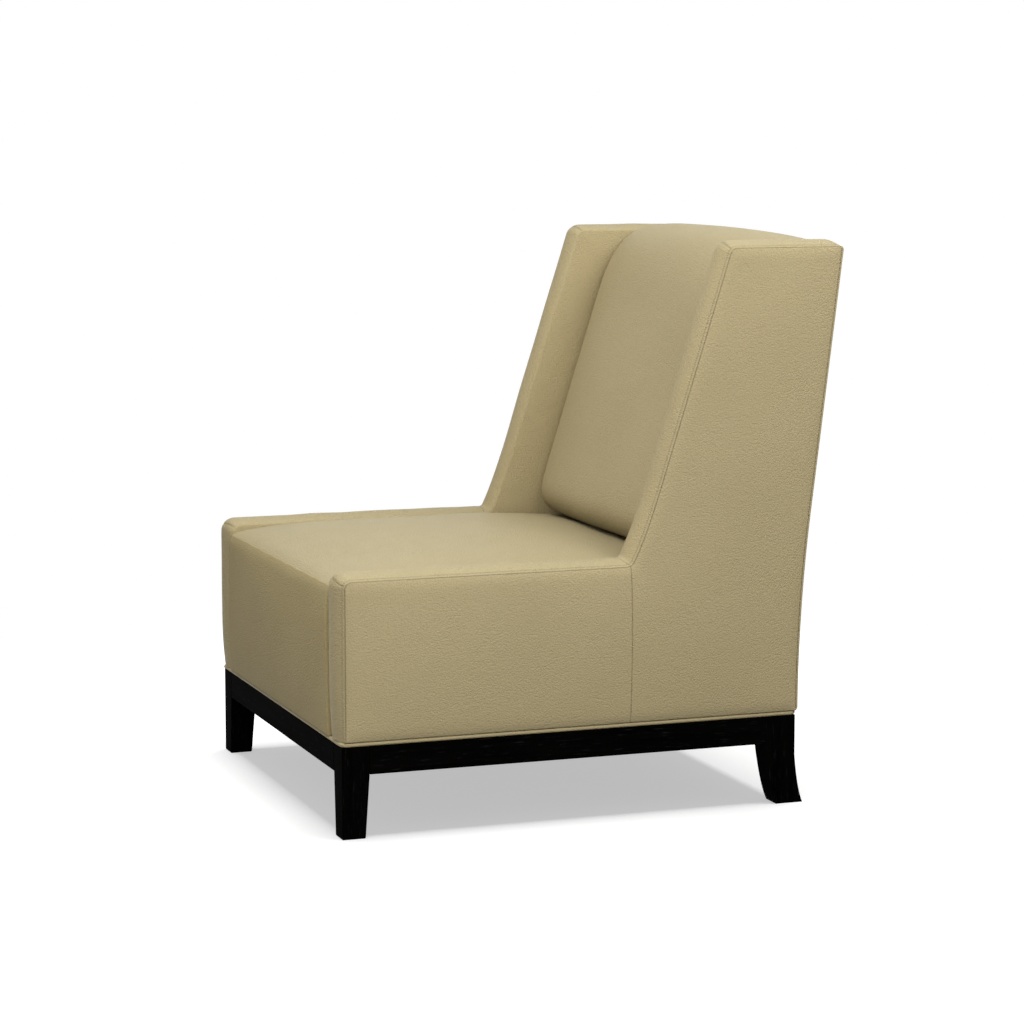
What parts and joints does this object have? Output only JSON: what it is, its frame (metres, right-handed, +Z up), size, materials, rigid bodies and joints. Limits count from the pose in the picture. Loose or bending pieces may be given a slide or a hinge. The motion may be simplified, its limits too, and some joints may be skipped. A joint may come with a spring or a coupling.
{
  "type": "slipper chair",
  "caption": "Low leather slipper chair: crowned seat, raked back and winged sides on a dark wooden base with swept rear legs.",
  "frame": {"origin": "on the floor under the middle of the chair's bounding box", "axes": "+Z up; the sitter faces -Y; +X is the chair's right side as seen by someone who faces it"},
  "size_m": [0.7386, 0.8566, 0.928],
  "materials": {
    "leather": "satin, fine pebble grain",
    "ebony_wood": "satin black stain, faint grain",
    "frame_wood": "raw, planed",
    "foam": "open-cell foam, matte",
    "wadding": "bonded fibre, matte",
    "felt": "needled felt, matte",
    "webbing": "woven, matte",
    "steel": "bare wire and zinc plate",
    "cambric": "non-woven, matte"
  },
  "bodies": {
    "root": {"back_bottom_rail": "frame_wood", "back_foam": "foam", "back_lower_rail": "frame_wood", "back_stile_left": "frame_wood", "back_stile_right": "frame_wood", "back_strap_1": "webbing", "back_strap_2": "webbing", "back_top_rail": "frame_wood", "bottom_welt": "leather", "dust_cover": "cambric", "front_apron": "ebony_wood", "front_corner_block_left": "frame_wood", "front_corner_block_right": "frame_wood", "front_frame_bolt_left": "steel", "front_frame_bolt_right": "steel", "front_leg_left": "ebony_wood", "front_leg_right": "ebony_wood", "front_seat_rail": "frame_wood", "front_spring_clip_1": "steel", "front_spring_clip_2": "steel", "front_spring_clip_3": "steel", "front_spring_clip_4": "steel", "inner_side_cover_left": "leather", "inner_side_cover_right": "leather", "inside_back_cover": "leather", "outer_arm_panel_left": "leather", "outer_arm_panel_right": "leather", "outer_wing_panel_left": "leather", "outer_wing_panel_right": "leather", "outside_back_cover": "leather", "rear_apron": "ebony_wood", "rear_corner_block_left": "frame_wood", "rear_corner_block_right": "frame_wood", "rear_frame_bolt_left": "steel", "rear_frame_bolt_right": "steel", "rear_leg_left": "ebony_wood", "rear_leg_right": "ebony_wood", "rear_seat_rail": "frame_wood", "rear_spring_clip_1": "steel", "rear_spring_clip_2": "steel", "rear_spring_clip_3": "steel", "rear_spring_clip_4": "steel", "seat_felt": "felt", "seat_foam": "foam", "seat_front_cover": "leather", "seat_spring_1": "steel", "seat_spring_2": "steel", "seat_spring_3": "steel", "seat_spring_4": "steel", "seat_top_cover": "leather", "side_apron_left": "ebony_wood", "side_apron_right": "ebony_wood", "side_foam_left": "foam", "side_foam_right": "foam", "side_frame_left": "frame_wood", "side_frame_right": "frame_wood", "side_seat_rail_left": "frame_wood", "side_seat_rail_right": "frame_wood", "side_wadding_left": "wadding", "side_wadding_right": "wadding"}
  },
  "joints": []
}
